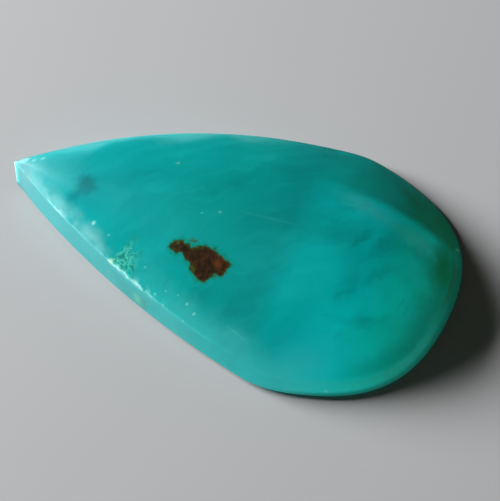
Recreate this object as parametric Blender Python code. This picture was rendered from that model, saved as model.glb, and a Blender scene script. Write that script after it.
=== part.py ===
"""A pear-shaped cabochon of gem silica, a blue-green chalcedony: one polished stone.

The stone lies on its flat ground base. It points along -X and its round end is at +X.
The origin is at the middle of the base, +Z is up, and all lengths are in metres.
"""

import math

import bmesh
import bpy
import numpy as np

MM = 0.001

# The outline seen from above: a round end and two long flanks that meet in the tip
LENGTH = 30.0 * MM
ROUND_END_RADIUS = 8.85 * MM
FAR_FLANK_RADIUS = 33.5 * MM
NEAR_FLANK_RADIUS = 59.0 * MM
TIP_OFFSET = -0.35 * MM

# Soft flats that hand grinding left around the round end, by angle from +X
GRINDING_FLATS = 5
GRINDING_DEPTH = 0.16 * MM
GRINDING_FIRST_CORNER = math.radians(30)
GRINDING_FULL_TO = math.radians(72)
GRINDING_GONE_BY = math.radians(112)

# The side wall, from the bevelled base up to the line where it meets the dome
BASE_BEVEL = 0.3 * MM
WALL_TOP_AT_TIP = 3.05 * MM
WALL_TOP_AT_ROUND_END = 0.7 * MM
WALL_LEAN_AT_TIP = 0.24 * MM
WALL_LEAN_AT_ROUND_END = 0.6 * MM

# The shoulder that rounds this line off: crisp at the tip, soft at the round end
SHOULDER_DROP_AT_TIP = 0.1 * MM
SHOULDER_DROP_AT_ROUND_END = 0.3 * MM
SHOULDER_SHARE_AT_TIP = 0.02
SHOULDER_SHARE_AT_ROUND_END = 0.1

# The dome, which is low and broad, and its middle line, which starts just behind the tip
HEIGHT = 5.5 * MM
DOME_FULLNESS = 2.2
CREST_FULLNESS = 0.8
CREST_START = 1.2 * MM

# How finely the surface is faceted
FLANK_STATIONS = 30
ROUND_END_STEPS = 30
SHOULDER_STEPS = 3
DOME_STEPS = 11

ROUND_END_CENTRE = LENGTH - ROUND_END_RADIUS


def clear_scene():
    for thing in list(bpy.data.objects):
        bpy.data.objects.remove(thing, do_unlink=True)


def flank_centre(radius):
    """Centre of a flank's arc through the tip that runs smoothly into the round end."""
    gap = radius - ROUND_END_RADIUS
    x = (radius**2 - gap**2 + ROUND_END_CENTRE**2) / (2 * ROUND_END_CENTRE)
    return x, -math.sqrt(radius**2 - x**2)


def flank_rays(radius, side):
    """Rays from the middle line square to a flank: (start, point on the outline, outward)."""
    centre_x, centre_y = flank_centre(radius)
    rays = []
    for step in range(FLANK_STATIONS + 1):
        start_x = CREST_START + (ROUND_END_CENTRE - CREST_START) * step / FLANK_STATIONS
        outward = np.array([start_x - centre_x, -centre_y])
        outward /= np.linalg.norm(outward)
        point = np.array([centre_x, centre_y]) + radius * outward
        mirror = np.array([1.0, side])
        rays.append((np.array([start_x, 0.0]), point * mirror, outward * mirror))
    return rays


def round_end_rays(first_angle, last_angle):
    """Rays from the round end's centre, between the two flanks."""
    centre = np.array([ROUND_END_CENTRE, 0.0])
    rays = []
    for step in range(1, ROUND_END_STEPS):
        angle = first_angle + (last_angle - first_angle) * step / ROUND_END_STEPS
        outward = np.array([math.cos(angle), math.sin(angle)])
        rays.append((centre, centre + ROUND_END_RADIUS * outward, outward))
    return rays


def outline_rays():
    """All rays in order round the stone: the tip, one flank, the round end, the other flank."""
    far = flank_rays(FAR_FLANK_RADIUS, 1.0)
    near = flank_rays(NEAR_FLANK_RADIUS, -1.0)
    slant = math.asin(flank_centre(FAR_FLANK_RADIUS)[0] / FAR_FLANK_RADIUS)
    tip = (far[0][0], np.array([0.0, 0.0]), np.array([-1 / math.sin(slant), 0.0]))
    far_angle = math.atan2(far[-1][2][1], far[-1][2][0])
    near_angle = math.atan2(near[-1][2][1], near[-1][2][0])
    rays = [tip] + far + round_end_rays(far_angle, near_angle) + near[::-1]
    return [(skew(start), skew(ground(point, outward)), outward) for start, point, outward in rays]


def ground(point, outward):
    """Moves a point of the outline in or out by the soft flats of the round end."""
    angle = math.atan2(point[1], point[0] - ROUND_END_CENTRE)
    fade = (GRINDING_GONE_BY - abs(angle)) / (GRINDING_GONE_BY - GRINDING_FULL_TO)
    fade = min(1.0, max(0.0, fade))
    depth = GRINDING_DEPTH * fade * fade * (3 - 2 * fade)
    return point + outward * depth * math.cos(GRINDING_FLATS * (angle - GRINDING_FIRST_CORNER))


def skew(point):
    """Moves a point of the outline sideways, most at the tip, so the stone isn't symmetric."""
    share = max(0.0, 1.0 - point[0] / ROUND_END_CENTRE)
    return point + np.array([0.0, TIP_OFFSET * share**2])


def along(x, at_tip, at_round_end):
    """A value that changes evenly from the tip to the round end."""
    return at_tip + (at_round_end - at_tip) * x / LENGTH


def wall_top(x):
    return along(x, WALL_TOP_AT_TIP, WALL_TOP_AT_ROUND_END)


def half_width(x):
    """Half the stone's width at a place on the middle line, as the mean of both flanks."""
    widths = []
    for radius in (FAR_FLANK_RADIUS, NEAR_FLANK_RADIUS):
        centre_x, centre_y = flank_centre(radius)
        widths.append(radius - math.hypot(x - centre_x, centre_y))
    return sum(widths) / 2


def crest_height(x):
    """Height of the dome's middle line, which falls with the stone's width toward the tip."""
    breadth = max(0.0, half_width(x)) / ROUND_END_RADIUS
    rise = HEIGHT - wall_top(ROUND_END_CENTRE)
    return wall_top(x) + rise * breadth**CREST_FULLNESS


def dome_point(start, edge, level):
    """A point of the dome on a ray, from the wall's top (level 1) to the middle line (0)."""
    flat = start + (edge[:2] - start) * level
    rise = crest_height(start[0]) - edge[2]
    return np.array([flat[0], flat[1], edge[2] + rise * (1 - level**DOME_FULLNESS)])


def section(start, point, outward):
    """The stone's profile over one ray, from the rim of the base to the middle line."""
    x = point[0]
    top = wall_top(x)
    lean = along(x, WALL_LEAN_AT_TIP, WALL_LEAN_AT_ROUND_END)
    drop = along(x, SHOULDER_DROP_AT_TIP, SHOULDER_DROP_AT_ROUND_END)
    share = along(x, SHOULDER_SHARE_AT_TIP, SHOULDER_SHARE_AT_ROUND_END)
    rim = np.array([*(point - outward * BASE_BEVEL), 0.0])
    foot = np.array([*point, BASE_BEVEL])
    edge = np.array([*(point - outward * lean), top])
    low = edge + (foot - edge) * drop / (top - BASE_BEVEL)
    high = dome_point(start, edge, 1 - share)
    places = [rim, foot]
    for step in range(SHOULDER_STEPS + 1):
        turn = step / (SHOULDER_STEPS + 1)
        places.append(low * (1 - turn)**2 + edge * 2 * turn * (1 - turn) + high * turn**2)
    for step in range(DOME_STEPS + 1):
        level = (1 - share) * math.cos(math.pi / 2 * step / DOME_STEPS)
        places.append(dome_point(start, edge, level))
    return places


def stone_mesh():
    """Starts from a filled circle, the base, and extrudes its rim up from level to level."""
    sections = np.array([section(*ray) for ray in outline_rays()])
    lowest = sections.min(axis=(0, 1))
    highest = sections.max(axis=(0, 1))
    sections[:, :, :2] -= ((lowest + highest) / 2)[:2]
    levels = sections.swapaxes(0, 1)
    mesh = bmesh.new()
    made = bmesh.ops.create_circle(mesh, cap_ends=True, segments=len(sections), radius=LENGTH)
    rim_vertices = made["verts"]
    rim_edges = list(mesh.edges)
    place(rim_vertices, levels[0])
    for level in levels[1:]:
        made = bmesh.ops.extrude_edge_only(mesh, edges=rim_edges)["geom"]
        rim_edges = [part for part in made if isinstance(part, bmesh.types.BMEdge)]
        above = {}
        for edge in rim_edges:
            for vertex in edge.verts:
                above[vertex] = None
        rim_vertices = follow(rim_vertices, above)
        place(rim_vertices, level)
    bmesh.ops.remove_doubles(mesh, verts=mesh.verts, dist=0.002 * MM)
    bmesh.ops.recalc_face_normals(mesh, faces=mesh.faces)
    bmesh.ops.triangulate(mesh, faces=[face for face in mesh.faces if len(face.verts) > 4])
    return mesh


def follow(lower, new_vertices):
    """The new rim's vertices in the order of the rim that they were extruded from."""
    ordered = []
    for vertex in lower:
        for edge in vertex.link_edges:
            other = edge.other_vert(vertex)
            if other in new_vertices:
                ordered.append(other)
                break
    return ordered


def place(vertices, places):
    for vertex, spot in zip(vertices, places):
        vertex.co = spot


def polished_silica():
    material = bpy.data.materials.new("polished_gem_silica")
    material.use_nodes = True
    shader = material.node_tree.nodes["Principled BSDF"]
    shader.inputs["Base Color"].default_value = (0.005, 0.27, 0.27, 1.0)
    shader.inputs["Roughness"].default_value = 0.15
    shader.inputs["Metallic"].default_value = 0.0
    shader.inputs["IOR"].default_value = 1.54
    return material


def make_stone(collection):
    data = bpy.data.meshes.new("stone")
    mesh = stone_mesh()
    mesh.to_mesh(data)
    mesh.free()
    data.shade_smooth()
    data.set_sharp_from_angle(angle=math.radians(35))
    data.materials.append(polished_silica())
    stone = bpy.data.objects.new("stone", data)
    collection.objects.link(stone)
    return stone


def main():
    clear_scene()
    collection = bpy.data.collections.new("gem_silica_cabochon")
    bpy.context.scene.collection.children.link(collection)
    make_stone(collection)


main()
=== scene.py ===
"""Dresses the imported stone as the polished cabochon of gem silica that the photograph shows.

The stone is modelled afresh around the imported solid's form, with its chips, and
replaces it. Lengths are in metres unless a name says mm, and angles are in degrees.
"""

import math

import bmesh
import bpy
import numpy as np
from mathutils import Matrix, Vector, noise


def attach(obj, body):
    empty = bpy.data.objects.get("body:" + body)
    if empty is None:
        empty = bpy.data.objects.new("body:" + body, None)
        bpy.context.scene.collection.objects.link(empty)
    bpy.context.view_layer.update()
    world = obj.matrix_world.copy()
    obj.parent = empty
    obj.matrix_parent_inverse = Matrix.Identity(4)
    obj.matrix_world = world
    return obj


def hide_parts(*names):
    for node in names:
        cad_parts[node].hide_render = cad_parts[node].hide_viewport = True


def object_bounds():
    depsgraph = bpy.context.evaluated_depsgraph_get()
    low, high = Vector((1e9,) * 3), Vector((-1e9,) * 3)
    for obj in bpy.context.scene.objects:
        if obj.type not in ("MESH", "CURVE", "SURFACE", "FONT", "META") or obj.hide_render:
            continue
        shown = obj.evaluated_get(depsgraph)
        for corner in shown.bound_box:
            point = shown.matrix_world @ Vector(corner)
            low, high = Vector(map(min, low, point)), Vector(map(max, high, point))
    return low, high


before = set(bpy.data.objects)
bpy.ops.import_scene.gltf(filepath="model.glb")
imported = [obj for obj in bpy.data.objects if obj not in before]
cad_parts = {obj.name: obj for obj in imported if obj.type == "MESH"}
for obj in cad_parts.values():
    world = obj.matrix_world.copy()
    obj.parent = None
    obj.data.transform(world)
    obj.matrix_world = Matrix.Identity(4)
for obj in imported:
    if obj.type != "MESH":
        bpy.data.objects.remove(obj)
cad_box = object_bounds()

MM = 0.001

# The outline and the profile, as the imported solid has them
LENGTH_MM = 30.0
LENGTH = LENGTH_MM * MM
ROUND_END_RADIUS = 8.85 * MM
FAR_FLANK_RADIUS = 33.5 * MM
NEAR_FLANK_RADIUS = 59.0 * MM
TIP_OFFSET = -0.35 * MM
GRINDING_FLATS = 5
GRINDING_DEPTH = 0.16 * MM
GRINDING_FIRST_CORNER = 30
GRINDING_FULL_TO = 72
GRINDING_GONE_BY = 112
BASE_BEVEL = 0.3 * MM
WALL_TOP_AT_TIP = 3.05 * MM
WALL_TOP_AT_ROUND_END = 0.7 * MM
WALL_LEAN_AT_TIP = 0.24 * MM
WALL_LEAN_AT_ROUND_END = 0.6 * MM
SHOULDER_DROP_AT_TIP = 0.05 * MM
SHOULDER_DROP_AT_ROUND_END = 0.3 * MM
SHOULDER_SHARE_AT_TIP = 0.01
SHOULDER_SHARE_AT_ROUND_END = 0.1
HEIGHT = 5.5 * MM
DOME_FULLNESS = 2.2
FULLNESS_AT_TIP = 3.4
FULLER_TO = 14.0 * MM
CREST_FULLNESS = 0.8
CREST_START = 1.2 * MM
ROUND_END_CENTRE = LENGTH - ROUND_END_RADIUS
BLEND_LENGTH = 4.5 * MM
BLEND_FROM = 9.0 * MM

# How finely each stretch is divided: closest where the ridge is chipped
CHIPPED_TO = 14.0 * MM
CHIPPED_STATIONS = 150
PLAIN_STATIONS = 60
TIP_RAYS = 14
ROUND_END_STEPS = 190
BEVEL_RINGS = 3
WALL_RINGS = 20
SHOULDER_RINGS = 7
DOME_RINGS = 72

# The stone's finish. The polish stays rougher than 0.28: where a surface crosses 0.27, the
# denoiser leaves pale flakes
REFRACTION = 1.54
GLOSS = 0.09
SMOOTHEST, ROUGHEST = 0.29, 0.35
SCATTER_COLOUR = (0.3, 1.0, 1.0)
SCATTER_DEPTH = 3 * MM
NO_SCATTER_UP_TO, FULL_SCATTER_FROM = 0.30, 0.90

# Colours that the stone's markings, and the light and shade painted on it, are painted with
CLOUD_PALE, CLOUD_DEEP = "#20b8b4", "#045c58"
FIBRE_PALE, FIBRE_DEEP = "#28b4b0", "#04605c"
# Painted sheen on the flanks, where they reflect the window
NEAR_SHEEN, FAR_SHEEN = "#58c0c4", "#6cc6ca"
# Painted light by the near ridge: a reflection of the sky on the wall, a sheen on the strip above it, and
# shade on the tip's wall
WALL_SKY_REFLECTION, RIDGE_SHEEN, TIP_WALL_SHADE = "#78b0b4", "#b0ccd0", "#34888c"
# Painted shade on a band above the round end's wall and at its foot, and a painted reflection on its near
# part; the olive is the stone's own
SHOULDER_SHADE, END_WALL_REFLECTION, OLIVE_WALL, WALL_FOOT_SHADE = "#066a5c", "#30a496", "#1c4a2c", "#0a5a4c"
# The far slope: the stone's deeper green, with painted shade where it turns away from the window
FAR_SLOPE_GREEN_AND_SHADE = "#10562a"
GROWTH_GROUND, GROWTH_GAPS, GROWTH_TWIGS, GROWTH_ROOT = "#2a9484", "#0b6058", "#5cb8a2", "#b4d49c"
INCLUSION_BROWNS = [(0.35, "#1a130a"), (0.5, "#2c1c10"), (0.68, "#402716")]
INCLUSION_HALO, INCLUSION_FRINGE, STRAND_GREEN = "#0c6a4c", "#33441a", "#35541c"
# The pale specks and the worn ridge line carry painted glints as well as their own white
SPECK_AND_GLINT_WHITE, CHIP_WHITE, WORN_AND_GLINT_WHITE = "#a0d8d0", "#a8dede", "#b4e2e0"

# Colour along the stone at its middle, from the tip: x in mm and colour. From about 7 to 12 mm
# it is painted lighter, a painted glow in place of light that passes through the shaded round end
ZONES_AND_GLOW = [
    (-15.0, "#738f93"),
    (-13.0, "#379a9d"),
    (-11.0, "#25999b"),
    (-9.0, "#099294"),
    (-6.0, "#058e8d"),
    (0.0, "#048985"),
    (4.0, "#047f7d"),
    (7.0, "#039f9d"),
    (9.5, "#03bbb9"),
    (11.5, "#06afa2"),
    (13.0, "#0b9381"),
    (14.2, "#10806c"),
    (15.0, "#186e5a"),
]

# Soft blotches of colour, among them a painted reflection and a painted glow: colour, strength, centre and
# size in mm, turn, and the core's share
BLOTCHES = [
    # the deep grey-green spot behind the tip, seen through the milky stone
    ("#006a6e", 1.0, (-8.95, -1.05, 4.3), (1.15, 0.85, 1.5), 0, 0.0),
    ("#006a6e", 0.95, (-9.10, -1.68, 4.2), (1.00, 0.55, 1.5), 35, 0.0),
    ("#006a6e", 0.85, (-8.50, -1.36, 4.3), (0.90, 0.60, 1.5), 0, 0.0),
    ("#00767a", 0.75, (-9.60, -2.05, 3.8), (0.85, 0.45, 1.5), 20, 0.0),
    ("#00868a", 0.50, (-8.60, -1.90, 4.1), (2.00, 1.25, 1.5), 0, 0.0),
    # faint brownish green streaks across the round end
    ("#0a6456", 0.28, (10.80, -0.80, 3.9), (2.3, 0.50, 3.0), 56, 0.0),
    ("#0a6456", 0.30, (8.80, 0.20, 5.0), (1.5, 0.35, 3.0), 61, 0.0),
    ("#0a6456", 0.25, (8.90, -3.30, 4.4), (1.2, 0.40, 3.0), 48, 0.0),
    ("#0a6456", 0.25, (12.30, -1.90, 2.7), (1.0, 0.35, 3.0), 62, 0.0),
    ("#0a6456", 0.25, (10.00, 0.70, 4.5), (1.1, 0.35, 3.0), 58, 0.0),
    ("#0a6456", 0.22, (10.70, -3.95, 3.3), (0.9, 0.45, 3.0), 40, 0.0),
    ("#0a6456", 0.20, (9.40, -5.30, 3.2), (0.8, 0.35, 3.0), 30, 0.0),
    # painted reflection: the pale sheen of the window that follows the edge of the dark far slope
    ("#52b4b0", 0.26, (8.60, 2.80, 4.3), (3.2, 1.00, 3.0), -8, 0.0),
    ("#45a898", 0.26, (11.60, 2.50, 2.8), (2.2, 1.10, 3.0), 4, 0.0),
    # a deeper cloud toward the round end, and olive low on the far slope
    ("#04726e", 0.42, (7.3, 0.1, 5.2), (2.8, 1.4, 2.5), 30, 0.0),
    ("#1c5a20", 0.50, (10.4, 5.9, 2.1), (2.2, 1.1, 2.0), -35, 0.0),
    # the olive patch at the round end's edge
    ("#0c5a2c", 0.80, (13.6, 2.0, 1.4), (1.5, 2.8, 2.0), 10, 0.1),
    # painted glow: paler and bluer low on the round end, in place of light that passes through the stone
    ("#12acb0", 0.45, (8.5, -6.5, 2.0), (4.5, 2.4, 3.0), 20, 0.2),
    # a dark green and a pale green stain low on the near wall
    ("#1f6e50", 0.65, (-3.25, -6.15, 0.85), (0.80, 0.50, 0.80), 0, 0.0),
    ("#78bc8c", 0.55, (-3.80, -6.00, 0.90), (0.60, 0.50, 0.60), 0, 0.0),
    # faint scratches and a faint pale arc across the top
    ("#4fb4b0", 0.16, (3.50, -7.00, 2.6), (1.2, 0.08, 1.5), -20, 0.1),
    ("#40aaa8", 0.14, (3.20, -0.30, 5.4), (2.9, 0.14, 1.5), 3, 0.1),
    ("#067070", 0.40, (-1.78, -5.30, 3.1), (0.55, 0.12, 1.0), 60, 0.1),
    # the faint dark blotch low on the near flank
    ("#067070", 0.40, (2.7, -6.2, 3.0), (0.9, 0.45, 1.5), 15, 0.1),
    ("#067070", 0.50, (0.6, -5.6, 3.4), (1.5, 0.8, 2.0), 20, 0.0),
]

# Turn of the clouds and fibres in degrees, and y in mm of the far slope's edge and its softness
FIBRE_TURN = 42
FAR_GREEN_EDGE = 3.80
FAR_GREEN_SOFTNESS = 0.45

# Pale specks and pits, some of them painted glints of light in small pits: centre and radius in mm, strength
SPECKS_AND_GLINTS = [
    ((-13.70, -0.22, 3.50), 0.17, 0.75),
    ((-13.15, -0.20, 3.66), 0.13, 0.6),
    ((-12.60, 0.06, 3.80), 0.15, 0.5),
    ((-3.46, -4.84, 3.16), 0.07, 0.35),
    ((-1.71, -6.42, 2.03), 0.07, 0.35),
    ((-0.16, -6.96, 1.85), 0.07, 0.35),
    ((-7.65, -3.13, 3.47), 0.13, 0.85),
    ((-3.86, 1.94, 4.91), 0.11, 0.4),
    ((-0.91, -1.19, 5.30), 0.07, 0.3),
    ((0.14, -0.82, 5.40), 0.09, 0.35),
    ((-6.41, -3.61, 3.44), 0.07, 0.4),
    ((-3.05, -5.92, 2.17), 0.08, 0.55),
    ((-2.39, -6.00, 2.32), 0.07, 0.5),
    ((-1.70, -5.77, 2.73), 0.06, 0.35),
    ((-0.85, -5.85, 2.86), 0.06, 0.4),
    ((-0.13, -6.17, 2.71), 0.08, 0.5),
    ((0.47, -6.56, 2.47), 0.09, 0.55),
    ((9.53, -7.92, 0.58), 0.08, 0.4),
    ((13.94, 4.16, 0.47), 0.12, 0.3),
]

# The worn line on the near ridge, brightened as a painted glint of the window: x in mm, half its width in mm,
# and its strength
RIDGE_WEAR_AND_GLINT = [
    (-15.0, 0.07, 0.5), (-11.5, 0.07, 0.5), (-11.1, 0.17, 0.8), (-10.3, 0.18, 0.7), (-9.9, 0.08, 0.3),
    (-8.0, 0.07, 0.2), (-6.4, 0.06, 0.2), (-6.0, 0.13, 0.9), (-4.5, 0.18, 0.9), (-4.3, 0.07, 0.3),
    (-4.1, 0.18, 0.9), (-3.2, 0.17, 0.7), (-2.4, 0.06, 0.3), (-1.0, 0.05, 0.0), (15.0, 0.05, 0.0),
]

# How deep the chips are and how far from the ridge they reach, in mm, and how close they lie
CHIP_DEPTH = 0.09
CHIP_REACH = 0.28
CHIP_SCALE = 2.2
CHIPPED_EVERYWHERE = 0.35

# Where the near ridge is chipped most: x and reach in mm, strength
RIDGE_CHIPS = [
    (-10.55, 0.55, 0.9),
    (-4.9, 0.9, 0.8),
    (-3.2, 0.7, 0.6),
]

# The green and yellow growth by the near ridge
DENDRITE_ROOT = (-5.95, -4.82, 2.40)
DENDRITE_REACH = 2.1

# Outline of the brown inclusion from above, in mm, its tinted parts, and a thin strand beside it
INCLUSION_OUTLINE = [
    (-2.26, -3.58), (-2.03, -3.20), (-1.73, -3.08), (-1.54, -2.94), (-1.35, -3.12), (-1.16, -3.16),
    (-0.92, -3.29), (-0.64, -3.31), (-0.39, -3.25), (-0.18, -3.11), (-0.17, -2.95), (0.01, -2.90),
    (0.22, -2.93), (0.43, -3.03), (0.75, -3.10), (0.90, -3.15), (1.20, -3.25), (1.55, -3.47),
    (1.81, -3.64), (1.94, -3.81), (1.88, -4.02), (1.78, -4.21), (1.73, -4.44), (1.52, -4.49),
    (1.31, -4.45), (1.07, -4.55), (0.85, -4.68), (0.72, -4.87), (0.52, -4.99), (0.24, -4.94),
    (-0.09, -4.76), (-0.40, -4.55), (-0.61, -4.33), (-0.83, -4.08), (-1.07, -3.88), (-1.35, -3.78),
    (-1.63, -3.82), (-1.87, -3.73), (-2.12, -3.61),
]
INCLUSION_TINTS = [
    ("#6e4218", 0.50, (1.09, -3.84, 4.55), (0.50, 0.34, 0.8), -20, 0.0),
    ("#56201a", 0.60, (1.35, -3.55, 4.70), (0.35, 0.22, 0.8), -20, 0.1),
    ("#5c2412", 0.55, (1.71, -4.00, 4.50), (0.18, 0.14, 0.8), 0, 0.1),
    ("#4a1a22", 0.50, (0.95, -3.45, 4.80), (0.22, 0.16, 0.8), 0, 0.1),
    ("#3f5a14", 0.60, (-0.35, -4.40, 4.00), (0.40, 0.20, 0.8), -45, 0.1),
    ("#50601c", 0.60, (-1.75, -3.25, 4.60), (0.16, 0.14, 0.8), 0, 0.1),
    ("#1c1c10", 0.50, (0.35, -3.30, 4.80), (0.30, 0.20, 0.8), 0, 0.1),
]
INCLUSION_STRAND = (-0.80, -2.90, 4.83)

# The photograph's camera, fitted to the stone's outline
CAMERA_AZIMUTH = 27.66
CAMERA_ELEVATION = 59.56
CAMERA_ROLL = -7.3
CAMERA_DISTANCE = 110.0 * MM
CAMERA_RIGHT = 1.332 * MM
CAMERA_UP = -0.360 * MM
PIXELS_PER_MM = 15.535
IMAGE_WIDTH = 500
SENSOR_WIDTH = 36.0

# The panels of light: name, azimuth (0 at +X, 90 at +Y), elevation, size in metres, watts
LIGHT_DISTANCE = 0.4
WINDOW = ("window", 176, 24.5, (0.22, 0.10), 3.75)
FILLS = [
    ("side", -132, 8, (0.26, 0.10), 0.4),
    ("low_fill", -80, 6, (0.45, 0.09), 0.65),
    ("end_fill", -12, 16, (0.45, 0.12), 1.1),
]
ROOM_COLOUR = "#d4d0bc"
ROOM_LIGHT = 0.05
FLOOR_COLOUR = "#b5b6b8"
FLOOR_GAP = 0.02 * MM


def linear(colour):
    """An sRGB hex colour as linear red, green, blue and alpha."""
    parts = [int(colour[place:place + 2], 16) / 255 for place in (1, 3, 5)]
    bent = [part / 12.92 if part <= 0.04045 else ((part + 0.055) / 1.055)**2.4 for part in parts]
    return (*bent, 1.0)


def ease(share):
    """A soft step: 0 up to 0 and 1 from 1 on."""
    share = np.clip(share, 0.0, 1.0)
    return share * share * (3 - 2 * share)


# The stone's form


def flank_centre(radius):
    """Centre of a flank's arc through the tip that runs smoothly into the round end."""
    gap = radius - ROUND_END_RADIUS
    x = (radius**2 - gap**2 + ROUND_END_CENTRE**2) / (2 * ROUND_END_CENTRE)
    return np.array([x, -math.sqrt(radius**2 - x**2)])


def flank_rays(radius, side, starts):
    """Rays from the middle line square to a flank: starts, outline points, outward directions."""
    centre = flank_centre(radius)
    starts = np.column_stack([starts, np.zeros(len(starts))])
    outward = starts - centre
    outward /= np.linalg.norm(outward, axis=1)[:, None]
    mirror = np.array([1.0, side])
    return starts, (centre + radius * outward) * mirror, outward * mirror


def outline_rays():
    """All rays in order: the tip, the far flank, the round end, the near flank."""
    starts = np.concatenate([
        np.linspace(CREST_START, CHIPPED_TO, CHIPPED_STATIONS)[:-1],
        np.linspace(CHIPPED_TO, ROUND_END_CENTRE, PLAIN_STATIONS),
    ])
    far = flank_rays(FAR_FLANK_RADIUS, 1.0, starts)
    near = flank_rays(NEAR_FLANK_RADIUS, -1.0, starts)
    slant = math.asin(flank_centre(FAR_FLANK_RADIUS)[0] / FAR_FLANK_RADIUS)
    tip = (far[0][:1], np.zeros((1, 2)), np.array([[-1 / math.sin(slant), 0.0]]))
    far, near = (fill_tip(tip, side) for side in (far, near))
    first, last = (math.atan2(side[2][-1][1], side[2][-1][0]) for side in (far, near))
    angles = np.linspace(first, last, ROUND_END_STEPS)[1:-1]
    outward = np.column_stack([np.cos(angles), np.sin(angles)])
    centre = np.tile([ROUND_END_CENTRE, 0.0], (len(angles), 1))
    end = (centre, centre + ROUND_END_RADIUS * outward, outward)
    near = [part[::-1] for part in near]
    starts, points, outward = (np.concatenate(parts) for parts in zip(tip, far, end, near))
    return skew(blend(starts, points)), skew(ground(points, outward)), outward


def fill_tip(tip, side):
    """Puts more rays between the tip's own ray and a flank's first one."""
    share = np.linspace(0, 1, TIP_RAYS)[1:-1, None]
    return tuple(
        np.concatenate([first + (rest[:1] - first) * share, rest])
        for first, rest in zip(tip, side))


def blend(starts, points):
    """Eases the middle line's end, so that the dome runs into the round end without a crease."""
    steps = np.linalg.norm(np.roll(points, -1, axis=0) - points, axis=1)
    way = np.cumsum(steps)
    around = way[-1]
    apart = abs(way[:, None] - way[None, :])
    weight = np.exp(-(np.minimum(apart, around - apart) / BLEND_LENGTH)**2) * steps[None, :]
    eased = weight @ starts / weight.sum(axis=1)[:, None]
    share = ease((points[:, :1] - BLEND_FROM) / (ROUND_END_CENTRE - BLEND_FROM))
    return starts + (eased - starts) * share


def ground(points, outward):
    """Moves the outline in or out by the soft flats that hand grinding left."""
    angles = np.arctan2(points[:, 1], points[:, 0] - ROUND_END_CENTRE)
    fade = (GRINDING_GONE_BY - np.degrees(abs(angles))) / (GRINDING_GONE_BY - GRINDING_FULL_TO)
    wave = np.cos(GRINDING_FLATS * (angles - math.radians(GRINDING_FIRST_CORNER)))
    return points + outward * (GRINDING_DEPTH * ease(fade) * wave)[:, None]


def skew(points):
    """Moves the outline sideways, most at the tip."""
    share = np.maximum(0.0, 1.0 - points[:, 0] / ROUND_END_CENTRE)
    return points + np.column_stack([np.zeros(len(points)), TIP_OFFSET * share**2])


def along(x, at_tip, at_round_end):
    """A value that changes evenly from the tip to the round end."""
    return at_tip + (at_round_end - at_tip) * x / LENGTH


def crest_height(x):
    """Height of the dome's middle line, which falls with the stone's width toward the tip."""
    widths = []
    for radius in (FAR_FLANK_RADIUS, NEAR_FLANK_RADIUS):
        centre = flank_centre(radius)
        widths.append(radius - np.hypot(x - centre[0], centre[1]))
    breadth = np.maximum(0.0, sum(widths) / 2) / ROUND_END_RADIUS
    rise = HEIGHT - along(ROUND_END_CENTRE, WALL_TOP_AT_TIP, WALL_TOP_AT_ROUND_END)
    return along(x, WALL_TOP_AT_TIP, WALL_TOP_AT_ROUND_END) + rise * breadth**CREST_FULLNESS


def dome_ring(starts, edge, level):
    """A ring of the dome, from the wall's top (level 1) to the middle line (0)."""
    level = np.broadcast_to(level, len(starts))
    flat = starts + (edge[:, :2] - starts) * level[:, None]
    rise = crest_height(np.minimum(flat[:, 0], ROUND_END_CENTRE)) - edge[:, 2]
    near_tip = 1 - ease(starts[:, 0] / FULLER_TO)
    fullness = DOME_FULLNESS + (FULLNESS_AT_TIP - DOME_FULLNESS) * near_tip
    return np.column_stack([flat, edge[:, 2] + rise * (1 - level**fullness)])


def stone_rings():
    """The stone as rings of points, from the rim of its base up to the middle line."""
    starts, points, outward = outline_rays()
    x = points[:, 0]
    top = along(x, WALL_TOP_AT_TIP, WALL_TOP_AT_ROUND_END)
    lean = along(x, WALL_LEAN_AT_TIP, WALL_LEAN_AT_ROUND_END)
    drop = along(x, SHOULDER_DROP_AT_TIP, SHOULDER_DROP_AT_ROUND_END)
    share = along(x, SHOULDER_SHARE_AT_TIP, SHOULDER_SHARE_AT_ROUND_END)
    rim = np.column_stack([points - outward * BASE_BEVEL, np.zeros(len(x))])
    foot = np.column_stack([points, np.full(len(x), BASE_BEVEL)])
    edge = np.column_stack([points - outward * lean[:, None], top])
    low = edge + (foot - edge) * (drop / (top - BASE_BEVEL))[:, None]
    high = dome_ring(starts, edge, 1 - share)
    rings = [rim + (foot - rim) * step / BEVEL_RINGS for step in range(BEVEL_RINGS)]
    for step in range(WALL_RINGS):
        rings.append(foot + (low - foot) * (1 - (1 - step / WALL_RINGS)**1.3))
    for step in range(SHOULDER_RINGS):
        turn = step / SHOULDER_RINGS
        rings.append(low * (1 - turn)**2 + edge * 2 * turn * (1 - turn) + high * turn**2)
    for step in range(DOME_RINGS + 1):
        level = (1 - share) * (1 - (step / DOME_RINGS)**1.3)
        rings.append(dome_ring(starts, edge, level))
    rings = np.array(rings)
    lowest, highest = rings.min(axis=(0, 1)), rings.max(axis=(0, 1))
    rings[:, :, :2] -= ((lowest + highest) / 2)[:2]
    packed = np.array(cad_box[1]) - np.array(cad_box[0])
    return rings * np.minimum(1.0, packed / (highest - lowest))


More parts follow.
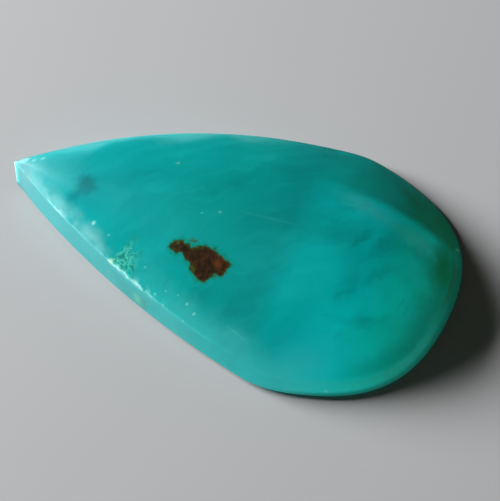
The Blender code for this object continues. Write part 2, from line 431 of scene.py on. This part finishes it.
def model_stone():
    """Extrudes a filled circle, the base, up through every ring, and closes it on the crest."""
    rings = stone_rings()
    bpy.ops.object.select_all(action="DESELECT")
    bpy.ops.mesh.primitive_circle_add(
        vertices=rings.shape[1], radius=LENGTH, fill_type="NGON", location=(0, 0, 0))
    stone = bpy.context.object
    stone.name = "cabochon"
    bpy.ops.object.mode_set(mode="EDIT")
    bpy.ops.mesh.select_mode(type="EDGE")
    mesh = bmesh.from_edit_mesh(stone.data)
    ray = mesh.verts.layers.int.new("ray")
    mesh.verts.ensure_lookup_table()
    for number, vertex in enumerate(mesh.verts):
        vertex[ray] = number
        vertex.co = rings[0][number]
    bmesh.update_edit_mesh(stone.data)
    for ring in rings[1:]:
        bpy.ops.mesh.extrude_edges_move()
        mesh = bmesh.from_edit_mesh(stone.data)
        ray = mesh.verts.layers.int["ray"]
        for vertex in mesh.verts:
            if vertex.select:
                vertex.co = ring[vertex[ray]]
        bmesh.update_edit_mesh(stone.data)
    bpy.ops.mesh.select_all(action="SELECT")
    bpy.ops.mesh.remove_doubles(threshold=0.002 * MM)
    bpy.ops.mesh.normals_make_consistent(inside=False)
    bpy.ops.object.mode_set(mode="OBJECT")
    bpy.ops.object.shade_smooth_by_angle(angle=math.radians(35))
    return stone


def inside_outline(places, outline):
    """Distance in mm from each place to the outline's edge, negative outside it."""
    corners = np.array(outline)
    nearest = np.full(len(places), 99.0)
    inside = np.zeros(len(places), dtype=bool)
    for start, end in zip(corners, np.roll(corners, -1, axis=0)):
        side = end - start
        share = np.clip((places - start) @ side / (side @ side), 0, 1)
        nearest = np.minimum(nearest, np.linalg.norm(places - start - share[:, None] * side, axis=1))
        crosses = (start[1] > places[:, 1]) != (end[1] > places[:, 1])
        rise = side[1] if side[1] else 1e-9
        inside ^= crosses & (places[:, 0] < start[0] + side[0] * (places[:, 1] - start[1]) / rise)
    return np.where(inside, nearest, -nearest)


def wear(stone):
    """Chips the near ridge, and stores where it is chipped and where the inclusion lies."""
    mesh = stone.data
    places = np.empty(3 * len(mesh.vertices))
    normals = np.empty(3 * len(mesh.vertices))
    mesh.vertices.foreach_get("co", places)
    mesh.vertex_normals.foreach_get("vector", normals)
    places, normals = places.reshape(-1, 3) / MM, normals.reshape(-1, 3)
    x = (places[:, 0] / LENGTH_MM + 0.5) * LENGTH
    above = places[:, 2] - along(x, WALL_TOP_AT_TIP, WALL_TOP_AT_ROUND_END) / MM
    chipped = np.zeros(len(places))
    for number in np.nonzero((abs(above) < 0.7) & (places[:, 0] < -1.5) & (places[:, 1] < -0.5))[0]:
        pitting = noise.turbulence(Vector(places[number]) * CHIP_SCALE, 3, False)
        depth = max(0.0, min(1.0, (pitting - 0.15) * 3.0)) * chip_share(places[number][0])
        chipped[number] = depth * math.exp(-(above[number] / CHIP_REACH)**2)
    inside = inside_outline(places[:, :2], INCLUSION_OUTLINE)
    inside[places[:, 2] < 2.0] = -5.0
    places -= normals * CHIP_DEPTH * chipped[:, None]
    mesh.vertices.foreach_set("co", (places * MM).ravel())
    mesh.attributes.new("chipped", "FLOAT", "POINT").data.foreach_set("value", chipped)
    mesh.attributes.new("inside_inclusion", "FLOAT", "POINT").data.foreach_set("value", inside)


def chip_share(x):
    """How strongly the near ridge is chipped at a place along it."""
    share = CHIPPED_EVERYWHERE
    for middle, reach, strength in RIDGE_CHIPS:
        share += strength * math.exp(-((x - middle) / reach)**2)
    return min(1.0, share)


def add_camera():
    """The photograph's view: the stone seen from its near flank, from well above."""
    azimuth, elevation, roll = map(math.radians, (CAMERA_AZIMUTH, CAMERA_ELEVATION, CAMERA_ROLL))
    back = Vector((
        math.sin(azimuth) * math.cos(elevation),
        -math.cos(azimuth) * math.cos(elevation),
        math.sin(elevation),
    ))
    level_right = Vector((0, 0, 1)).cross(back).normalized()
    level_up = back.cross(level_right)
    right = level_right * math.cos(roll) + level_up * math.sin(roll)
    up = level_up * math.cos(roll) - level_right * math.sin(roll)
    place = right * CAMERA_RIGHT + up * CAMERA_UP + back * CAMERA_DISTANCE
    bpy.ops.object.camera_add(location=place)
    camera = bpy.context.object
    camera.name = "camera"
    camera.rotation_euler = Matrix((right, up, back)).transposed().to_euler()
    focal_pixels = PIXELS_PER_MM * CAMERA_DISTANCE / MM
    camera.data.sensor_width = SENSOR_WIDTH
    camera.data.lens = focal_pixels / IMAGE_WIDTH * SENSOR_WIDTH
    camera.data.clip_start = 1 * MM
    camera.data.clip_end = 10.0
    camera.data.dof.use_dof = False
    bpy.context.scene.camera = camera


def add_light(name, azimuth, elevation, size, power):
    """A soft white panel that faces the stone."""
    turn, lift = math.radians(azimuth), math.radians(elevation)
    out = Vector((math.cos(turn) * math.cos(lift), math.sin(turn) * math.cos(lift), math.sin(lift)))
    bpy.ops.object.light_add(type="AREA", location=out * LIGHT_DISTANCE)
    light = bpy.context.object
    light.name = name
    light.rotation_euler = out.to_track_quat("Z", "Y").to_euler()
    light.data.shape = "RECTANGLE"
    light.data.size, light.data.size_y = size
    light.data.energy = power
    return light


def keep_on_stone(fills, stone):
    """Keeps the fill lights off the floor, whose shadow stays deep, and out of the reflections."""
    lit = bpy.data.collections.new("lit_by_the_fills")
    lit.objects.link(stone)
    for light in fills:
        light.light_linking.receiver_collection = lit
        light.visible_glossy = False


def add_node(tree, kind, inputs=None, **settings):
    """Adds a node, sets it, and gives each named input its number, colour or link."""
    node = tree.nodes.new(kind)
    for name, value in settings.items():
        setattr(node, name, value)
    for name, value in (inputs or {}).items():
        if isinstance(value, bpy.types.NodeSocket):
            tree.links.new(value, node.inputs[name])
        else:
            node.inputs[name].default_value = value
    return node


def silica_material():
    """Polished gem silica: chalcedony coloured by copper, milky and translucent.

    Its zones run from the milky tip through deep blue-green to the olive round end, so the
    eye reads one natural stone. Light scatters inside it, which lets the tip and the thin
    edges glow, and the weak gloss leaves only a faint sheen on the dome. Light and shade are
    also painted into its colour: sheen and reflections by the ridge and flanks, a glow toward
    the round end, and shade on the far slope, the tip's wall and the round end's wall.
    """
    material = bpy.data.materials.new("polished_gem_silica")
    material.use_nodes = True
    tree = material.node_tree
    shader = tree.nodes["Principled BSDF"]
    shader.inputs["IOR"].default_value = REFRACTION
    shader.inputs["Specular IOR Level"].default_value = GLOSS
    shader.inputs["Subsurface Radius"].default_value = SCATTER_COLOUR
    shader.inputs["Subsurface Scale"].default_value = SCATTER_DEPTH

    # The place on the stone in mm, and two bent copies of it that make edges cloudy or frayed
    coordinates = add_node(tree, "ShaderNodeTexCoord")
    place = add_node(tree, "ShaderNodeMapping", {
        "Vector": coordinates.outputs["Object"], "Scale": (1 / MM, 1 / MM, 1 / MM)}).outputs[0]
    drift = noise_offset(tree, place, 0.3, 1.6)
    cloudy = add_node(tree, "ShaderNodeVectorMath", {0: place, 1: drift}, operation="ADD").outputs[0]
    jitter = noise_offset(tree, place, 1.6, 0.45)
    frayed = add_node(tree, "ShaderNodeVectorMath", {0: place, 1: jitter}, operation="ADD").outputs[0]

    # The colours, each laid over the ones before it
    # The stone's colour zones, with a painted glow lighter toward the round end
    colour = zone_colour_and_glow(tree, cloudy)
    colour = clouds(tree, cloudy, colour)
    # Blotches: the stone's spots, streaks and stains, with a painted reflection and a painted glow among them
    for shade, strength, centre, size, turn, core in BLOTCHES:
        mask = blotch(tree, frayed if min(size) > 0.2 else place, centre, size, turn, core)
        colour = paint(tree, colour, shade, mask, strength)
    colour = far_green_and_shade(tree, place, cloudy, colour)
    colour = round_end_wall(tree, place, colour)
    colour = flank_sheen(tree, place, cloudy, colour)
    colour = ridge_sheen_and_tip_shade(tree, place, colour)
    colour = dendrite(tree, place, colour)
    colour = inclusion(tree, place, frayed, colour)
    # Pale specks, some of them painted glints in small pits
    for centre, radius, strength in SPECKS_AND_GLINTS:
        speck = blotch(tree, place, centre, (2.0 * radius, 1.3 * radius, 3 * radius), 33, 0.0)
        colour = paint(tree, colour, SPECK_AND_GLINT_WHITE, speck, 0.75 * strength)
    chipped = add_node(tree, "ShaderNodeAttribute", attribute_name="chipped").outputs["Fac"]
    colour = paint(tree, colour, CHIP_WHITE, chipped, 0.3)
    ridge = ridge_line(tree, place)
    # A worn line along the near ridge, with a painted glint on it
    colour = paint(tree, colour, WORN_AND_GLINT_WHITE, ridge, 0.65)
    tree.links.new(colour, shader.inputs["Base Color"])

    # No scattering low on the wall, where it lights the base's edge as a thin bright line
    height = add_node(tree, "ShaderNodeSeparateXYZ", {"Vector": place}).outputs["Z"]
    scatter = between(tree, height, NO_SCATTER_UP_TO, FULL_SCATTER_FROM)
    tree.links.new(scatter, shader.inputs["Subsurface Weight"])

    # The hand polish is a little uneven, and the chips are dull
    haze = add_node(tree, "ShaderNodeTexNoise", {"Vector": place, "Scale": 0.7, "Detail": 4.0}).outputs["Fac"]
    rough = add_node(tree, "ShaderNodeMapRange", {
        "Value": haze, "From Min": 0.3, "From Max": 0.7,
        "To Min": SMOOTHEST, "To Max": ROUGHEST}).outputs[0]
    rough = add_node(tree, "ShaderNodeMath", {
        0: chipped, 1: 0.3, 2: rough}, operation="MULTIPLY_ADD").outputs[0]
    tree.links.new(rough, shader.inputs["Roughness"])

    # Fine grain under the polish breaks up the sheen
    grain = add_node(tree, "ShaderNodeTexNoise", {"Vector": place, "Scale": 5.0, "Detail": 5.0})
    bump = add_node(tree, "ShaderNodeBump", {
        "Height": grain.outputs["Fac"], "Strength": 0.08, "Distance": 0.03 * MM})
    tree.links.new(bump.outputs[0], shader.inputs["Normal"])
    return material


def noise_offset(tree, place, scale, reach):
    """An offset in mm, up to half the reach each way, that drifts with the place."""
    drift = add_node(tree, "ShaderNodeTexNoise", {"Vector": place, "Scale": scale, "Detail": 3.0})
    centred = add_node(tree, "ShaderNodeVectorMath", {
        0: drift.outputs["Color"], 1: (0.5, 0.5, 0.5)}, operation="SUBTRACT")
    return add_node(tree, "ShaderNodeVectorMath", {
        0: centred.outputs[0], "Scale": 2 * reach}, operation="SCALE").outputs[0]


def paint(tree, under, shade, mask, strength):
    """Lays a colour over another one as far as the mask and its strength say."""
    share = add_node(tree, "ShaderNodeMath", {0: mask, 1: strength}, operation="MULTIPLY").outputs[0]
    over = linear(shade) if isinstance(shade, str) else shade
    return add_node(tree, "ShaderNodeMix", {0: share, 6: under, 7: over}, data_type="RGBA").outputs[2]


def blotch(tree, place, centre, size, turn, core):
    """A soft-edged ellipsoid: 1 inside its core, 0 outside its size."""
    local = add_node(tree, "ShaderNodeMapping", {
        "Vector": place, "Location": centre, "Rotation": (0, 0, math.radians(turn)), "Scale": size},
        vector_type="TEXTURE").outputs[0]
    reach = add_node(tree, "ShaderNodeVectorMath", {0: local}, operation="LENGTH").outputs["Value"]
    return add_node(tree, "ShaderNodeMapRange", {
        "Value": reach, "From Min": 1.0, "From Max": core}, interpolation_type="SMOOTHSTEP").outputs[0]


def between(tree, value, low, high):
    """0 below the low value and 1 above the high one, with a soft step."""
    return add_node(tree, "ShaderNodeMapRange", {
        "Value": value, "From Min": low, "From Max": high}, interpolation_type="SMOOTHSTEP").outputs[0]


def times(tree, first, second):
    """The product of two numbers, such as the overlap of two masks."""
    return add_node(tree, "ShaderNodeMath", {0: first, 1: second}, operation="MULTIPLY").outputs[0]


def zone_colour_and_glow(tree, place):
    """The colour along the stone, from the milky tip to the green round end, painted lighter toward the round
    end as a painted glow.
    """
    x = add_node(tree, "ShaderNodeSeparateXYZ", {"Vector": place}).outputs["X"]
    share = add_node(tree, "ShaderNodeMapRange", {
        "Value": x, "From Min": ZONES_AND_GLOW[0][0], "From Max": ZONES_AND_GLOW[-1][0]}).outputs[0]
    ramp = add_node(tree, "ShaderNodeValToRGB", {"Fac": share})
    length = ZONES_AND_GLOW[-1][0] - ZONES_AND_GLOW[0][0]
    fill_ramp(ramp, [((x_mm - ZONES_AND_GLOW[0][0]) / length, linear(shade)) for x_mm, shade in ZONES_AND_GLOW])
    return ramp.outputs["Color"]


def clouds(tree, place, colour):
    """Milky veils and faint darker wisps, drawn out across the stone."""
    fog = streaky_noise(tree, place, (6.0, 2.2, 3.0))
    colour = paint(tree, colour, CLOUD_PALE, between(tree, fog, 0.50, 0.75), 0.20)
    colour = paint(tree, colour, CLOUD_DEEP, between(tree, fog, 0.48, 0.28), 0.25)
    fibres = streaky_noise(tree, place, (4.0, 0.5, 2.0))
    colour = paint(tree, colour, FIBRE_PALE, between(tree, fibres, 0.52, 0.72), 0.09)
    return paint(tree, colour, FIBRE_DEEP, between(tree, fibres, 0.46, 0.28), 0.08)


def streaky_noise(tree, place, size):
    """Cloudy noise drawn out along the stone's growth, with its grain sizes in mm."""
    drawn_out = add_node(tree, "ShaderNodeMapping", {
        "Vector": place, "Rotation": (0, 0, math.radians(FIBRE_TURN)), "Scale": size},
        vector_type="TEXTURE").outputs[0]
    mist = add_node(tree, "ShaderNodeTexNoise", {"Vector": drawn_out, "Scale": 1.0, "Detail": 5.0})
    return mist.outputs["Fac"]


def ridge_line(tree, place):
    """The thin worn line where the near wall meets the dome, ragged and broken in places, which also carries
    a painted glint of the window.
    """
    parts = add_node(tree, "ShaderNodeSeparateXYZ", {"Vector": place}).outputs
    above = height_over_wall(tree, parts)
    nibble = add_node(tree, "ShaderNodeTexNoise", {"Vector": place, "Scale": 3.2, "Detail": 5.0})
    wander = add_node(tree, "ShaderNodeMath", {
        0: nibble.outputs["Fac"], 1: 0.3, 2: -0.15}, operation="MULTIPLY_ADD").outputs[0]
    above = add_node(tree, "ShaderNodeMath", {0: above, 1: wander}, operation="SUBTRACT").outputs[0]
    apart = add_node(tree, "ShaderNodeMath", {0: above}, operation="ABSOLUTE").outputs[0]
    wear_and_glint_along = curve_along(tree, parts["X"], RIDGE_WEAR_AND_GLINT)
    ratio = add_node(tree, "ShaderNodeMath", {0: apart, 1: wear_and_glint_along["X"]}, operation="DIVIDE").outputs[0]
    line = times(tree, between(tree, ratio, 1.0, 0.2), between(tree, parts["Y"], -0.3, -0.6))
    broken = add_node(tree, "ShaderNodeTexNoise", {"Vector": place, "Scale": 1.7, "Detail": 6.0})
    kept = between(tree, broken.outputs["Fac"], 0.3, 0.55)
    return times(tree, times(tree, line, wear_and_glint_along["Y"]), kept)


def curve_along(tree, x, stops):
    """Two values, each from 0 to 1, that follow a list of (x in mm, first, second)."""
    share = add_node(tree, "ShaderNodeMapRange", {
        "Value": x, "From Min": -LENGTH_MM / 2, "From Max": LENGTH_MM / 2}).outputs[0]
    ramp = add_node(tree, "ShaderNodeValToRGB", {"Fac": share})
    fill_ramp(ramp, [
        ((x_mm + LENGTH_MM / 2) / LENGTH_MM, (first, second, 0, 1)) for x_mm, first, second in stops])
    return add_node(tree, "ShaderNodeSeparateXYZ", {"Vector": ramp.outputs["Color"]}).outputs


def fill_ramp(ramp, stops):
    """Gives a colour ramp its stops, a list of (position, colour) in order."""
    elements = ramp.color_ramp.elements
    elements[1].position = 1.0
    for number, (position, colour) in enumerate(stops):
        if number in (0, len(stops) - 1):
            stop = elements[0 if number == 0 else len(elements) - 1]
            stop.position = position
        else:
            stop = elements.new(position)
        stop.color = colour


def round_end_wall(tree, place, colour):
    """The round end's wall: a painted reflection on its near part, olive far, painted shade at its foot,
    under a band of painted shade on the dome.
    """
    parts = add_node(tree, "ShaderNodeSeparateXYZ", {"Vector": place}).outputs
    above = height_over_wall(tree, parts)
    wall = times(tree, between(tree, above, 0.12, -0.02), between(tree, parts["X"], 4.0, 9.0))
    inner = times(tree, between(tree, above, 0.05, 0.30), between(tree, above, 1.4, 0.4))
    inner = times(tree, inner, between(tree, parts["X"], 9.0, 12.5))
    inner = times(tree, inner, between(tree, parts["Y"], 0.5, -1.5))
    # Painted shade on a band of the dome just above the wall
    colour = paint(tree, colour, SHOULDER_SHADE, inner, 0.32)
    near = times(tree, wall, between(tree, parts["Y"], -0.5, -3.5))
    # Painted reflection of the floor on the near part of the wall
    colour = paint(tree, colour, END_WALL_REFLECTION, near, 0.35)
    olive = times(tree, between(tree, parts["Y"], -1.0, 1.2), between(tree, parts["Y"], 4.5, 2.5))
    colour = paint(tree, colour, OLIVE_WALL, times(tree, wall, olive), 0.55)
    # Painted shade at the wall's foot
    foot = times(tree, wall, between(tree, parts["Z"], 0.60, 0.35))
    return paint(tree, colour, WALL_FOOT_SHADE, foot, 0.8)


def height_over_wall(tree, parts):
    """How far in mm a place lies over the height of the wall's top."""
    slope = (WALL_TOP_AT_ROUND_END - WALL_TOP_AT_TIP) / LENGTH
    middle = (WALL_TOP_AT_ROUND_END + WALL_TOP_AT_TIP) / 2 / MM
    top = add_node(tree, "ShaderNodeMath", {
        0: parts["X"], 1: slope, 2: middle}, operation="MULTIPLY_ADD").outputs[0]
    return add_node(tree, "ShaderNodeMath", {0: parts["Z"], 1: top}, operation="SUBTRACT").outputs[0]


def ridge_sheen_and_tip_shade(tree, place, colour):
    """Painted light by the near ridge: a painted sheen along the strip above it, a painted reflection of the
    sky on the near wall below it, and painted shade on the tip's wall.
    """
    parts = add_node(tree, "ShaderNodeSeparateXYZ", {"Vector": place}).outputs
    above = height_over_wall(tree, parts)
    near = times(tree, between(tree, parts["Y"], 0.2, -1.0), between(tree, parts["X"], 4.0, -7.0))
    wall = times(tree, near, between(tree, above, 0.06, -0.06))
    # Painted reflection of the sky on the near wall
    colour = paint(tree, colour, WALL_SKY_REFLECTION, wall, 0.36)
    end = times(tree, between(tree, parts["X"], -13.9, -14.8), between(tree, above, 0.30, 0.0))
    # Painted shade on the tip's wall
    colour = paint(tree, colour, TIP_WALL_SHADE, end, 0.75)
    strip = times(tree, between(tree, above, -0.05, 0.05), between(tree, above, 1.25, 0.35))
    reach = times(tree, between(tree, parts["X"], -5.5, -7.5), between(tree, parts["X"], -14.2, -12.5))
    fog = add_node(tree, "ShaderNodeTexNoise", {"Vector": place, "Scale": 0.9, "Detail": 5.0}).outputs["Fac"]
    veil = times(tree, times(tree, strip, reach), between(tree, fog, 0.25, 0.6))
    # Painted sheen along the strip above the near ridge
    return paint(tree, colour, RIDGE_SHEEN, times(tree, veil, near), 0.26)


def flank_sheen(tree, place, cloudy, colour):
    """Painted sheen: thin pale haze low on the near flank and along the far edge, where the flanks reflect
    the window.
    """
    parts = add_node(tree, "ShaderNodeSeparateXYZ", {"Vector": place}).outputs
    loose = add_node(tree, "ShaderNodeSeparateXYZ", {"Vector": cloudy}).outputs
    above = height_over_wall(tree, loose)
    near = times(tree, between(tree, above, 1.9, 0.1), between(tree, parts["Y"], -2.0, -4.5))
    near = times(tree, near, between(tree, loose["X"], -5.0, 0.0))
    near = times(tree, near, between(tree, loose["X"], 10.5, 7.0))
    # Painted sheen low on the near flank
    colour = paint(tree, colour, NEAR_SHEEN, near, 0.22)
    far = times(tree, between(tree, above, 1.3, 0.1), between(tree, parts["Y"], 0.5, 1.5))
    far = times(tree, far, between(tree, loose["X"], 5.0, -3.0))
    # Painted sheen along the far edge
    return paint(tree, colour, FAR_SHEEN, far, 0.32)


def far_green_and_shade(tree, place, cloudy, colour):
    """The far slope's dark green zone, with a distinct edge on the dome: partly the stone's deeper green,
    partly painted shade where the slope turns away from the window.
    """
    parts = add_node(tree, "ShaderNodeSeparateXYZ", {"Vector": place}).outputs
    loose = add_node(tree, "ShaderNodeSeparateXYZ", {"Vector": cloudy}).outputs
    y = add_node(tree, "ShaderNodeMath", {
        0: loose["Y"], 1: 0.3, 2: times(tree, parts["Y"], 0.7)}, operation="MULTIPLY_ADD").outputs[0]
    beyond = between(tree, y, FAR_GREEN_EDGE - FAR_GREEN_SOFTNESS, FAR_GREEN_EDGE + FAR_GREEN_SOFTNESS)
    mask = times(tree, beyond, between(tree, loose["X"], 2.0, 13.0))
    # Painted shade and deeper green over the far slope
    return paint(tree, colour, FAR_SLOPE_GREEN_AND_SHADE, mask, 0.8)


def dendrite(tree, place, colour):
    """A fan of green and yellow mineral growth that spreads from a point on the ridge."""
    local = add_node(tree, "ShaderNodeVectorMath", {
        0: place, 1: DENDRITE_ROOT}, operation="SUBTRACT").outputs[0]
    parts = add_node(tree, "ShaderNodeSeparateXYZ", {"Vector": local}).outputs
    flat = add_node(tree, "ShaderNodeCombineXYZ", {"X": parts["X"], "Y": parts["Y"]}).outputs[0]
    reach = add_node(tree, "ShaderNodeVectorMath", {0: flat}, operation="LENGTH").outputs["Value"]
    angle = add_node(tree, "ShaderNodeMath", {
        0: parts["Y"], 1: parts["X"]}, operation="ARCTAN2").outputs[0]
    spread = add_node(tree, "ShaderNodeMath", {0: angle, 1: 1.6}, operation="MULTIPLY").outputs[0]
    polar = add_node(tree, "ShaderNodeCombineXYZ", {"X": spread, "Y": reach}).outputs[0]
    sway = noise_offset(tree, place, 2.2, 0.35)
    bent = add_node(tree, "ShaderNodeVectorMath", {0: polar, 1: sway}).outputs[0]
    twigs = add_node(tree, "ShaderNodeTexNoise", {"Vector": bent, "Scale": 1.8, "Detail": 2.0}).outputs["Fac"]
    apart = add_node(tree, "ShaderNodeMath", {0: twigs, 1: 0.5}, operation="SUBTRACT").outputs[0]
    apart = add_node(tree, "ShaderNodeMath", {0: apart}, operation="ABSOLUTE").outputs[0]
    fan = times(tree, between(tree, angle, -0.85, -0.4), between(tree, angle, 0.95, 0.5))
    frayed_reach = add_node(tree, "ShaderNodeMath", {
        0: twigs, 1: 3.0, 2: reach}, operation="MULTIPLY_ADD").outputs[0]
    fan = times(tree, fan, between(tree, frayed_reach, DENDRITE_REACH + 1.6, 0.5 * DENDRITE_REACH + 1.5))
    whole = add_node(tree, "ShaderNodeSeparateXYZ", {"Vector": place}).outputs
    over_wall = height_over_wall(tree, whole)
    fan = times(tree, fan, between(tree, over_wall, 0.0, 0.15))
    colour = paint(tree, colour, GROWTH_GROUND, fan, 0.6)
    colour = paint(tree, colour, GROWTH_GAPS, times(tree, fan, between(tree, apart, 0.05, 0.12)), 0.6)
    colour = paint(tree, colour, GROWTH_TWIGS, times(tree, fan, between(tree, apart, 0.06, 0.01)), 0.55)
    root = blotch(tree, place, DENDRITE_ROOT, (0.42, 0.22, 0.4), 20, 0.1)
    return paint(tree, colour, GROWTH_ROOT, root, 0.7)


def inclusion(tree, place, frayed, colour):
    """The brown iron inclusion: a ragged body, an olive fringe and an orange glow inside."""
    inside = add_node(tree, "ShaderNodeAttribute", attribute_name="inside_inclusion").outputs["Fac"]
    fray = add_node(tree, "ShaderNodeTexNoise", {"Vector": place, "Scale": 2.6, "Detail": 6.0}).outputs["Fac"]
    fray = add_node(tree, "ShaderNodeMath", {0: fray, 1: 0.5}, operation="SUBTRACT").outputs[0]
    ragged = add_node(tree, "ShaderNodeMath", {
        0: fray, 1: 0.7, 2: inside}, operation="MULTIPLY_ADD").outputs[0]
    colour = paint(tree, colour, INCLUSION_HALO, between(tree, ragged, -0.26, 0.04), 0.6)
    strand = blotch(tree, frayed, INCLUSION_STRAND, (0.50, 0.16, 0.6), 12, 0.2)
    colour = paint(tree, colour, STRAND_GREEN, strand, 0.9)
    stain = add_node(tree, "ShaderNodeTexNoise", {
        "Vector": place, "Scale": 3.0, "Detail": 6.0, "Roughness": 0.6})
    ramp = add_node(tree, "ShaderNodeValToRGB", {"Fac": stain.outputs["Fac"]})
    fill_ramp(ramp, [(position, linear(shade)) for position, shade in INCLUSION_BROWNS])
    brown = ramp.outputs["Color"]
    for shade, strength, centre, size, turn, core in INCLUSION_TINTS:
        brown = paint(tree, brown, shade, blotch(tree, place, centre, size, turn, core), strength)
    brown = paint(tree, brown, INCLUSION_FRINGE, between(tree, ragged, 0.22, 0.04), 0.65)
    return paint(tree, colour, brown, between(tree, ragged, -0.05, 0.07), 1.0)


def floor_material():
    """Pale matte paint: an even ground that shows nothing but the stone's soft shadow."""
    material = bpy.data.materials.new("pale_matte_paint")
    material.use_nodes = True
    shader = material.node_tree.nodes["Principled BSDF"]
    shader.inputs["Base Color"].default_value = linear(FLOOR_COLOUR)
    shader.inputs["Roughness"].default_value = 0.8
    shader.inputs["Specular IOR Level"].default_value = 0.2
    return material


stone = model_stone()
wear(stone)
stone.data.materials.append(silica_material())
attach(stone, "root")
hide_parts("stone")

bpy.ops.mesh.primitive_plane_add(size=1.0, location=(0, 0, -FLOOR_GAP))
floor = bpy.context.object
floor.name = "floor"
floor.visible_glossy = False
floor.data.materials.append(floor_material())

add_camera()
add_light(*WINDOW)
keep_on_stone([add_light(*fill) for fill in FILLS], stone)
world = bpy.data.worlds.new("studio")
bpy.context.scene.world = world
world.use_nodes = True
world.node_tree.nodes["Background"].inputs["Color"].default_value = linear(ROOM_COLOUR)
world.node_tree.nodes["Background"].inputs["Strength"].default_value = ROOM_LIGHT
bpy.context.scene.view_settings.view_transform = "Standard"
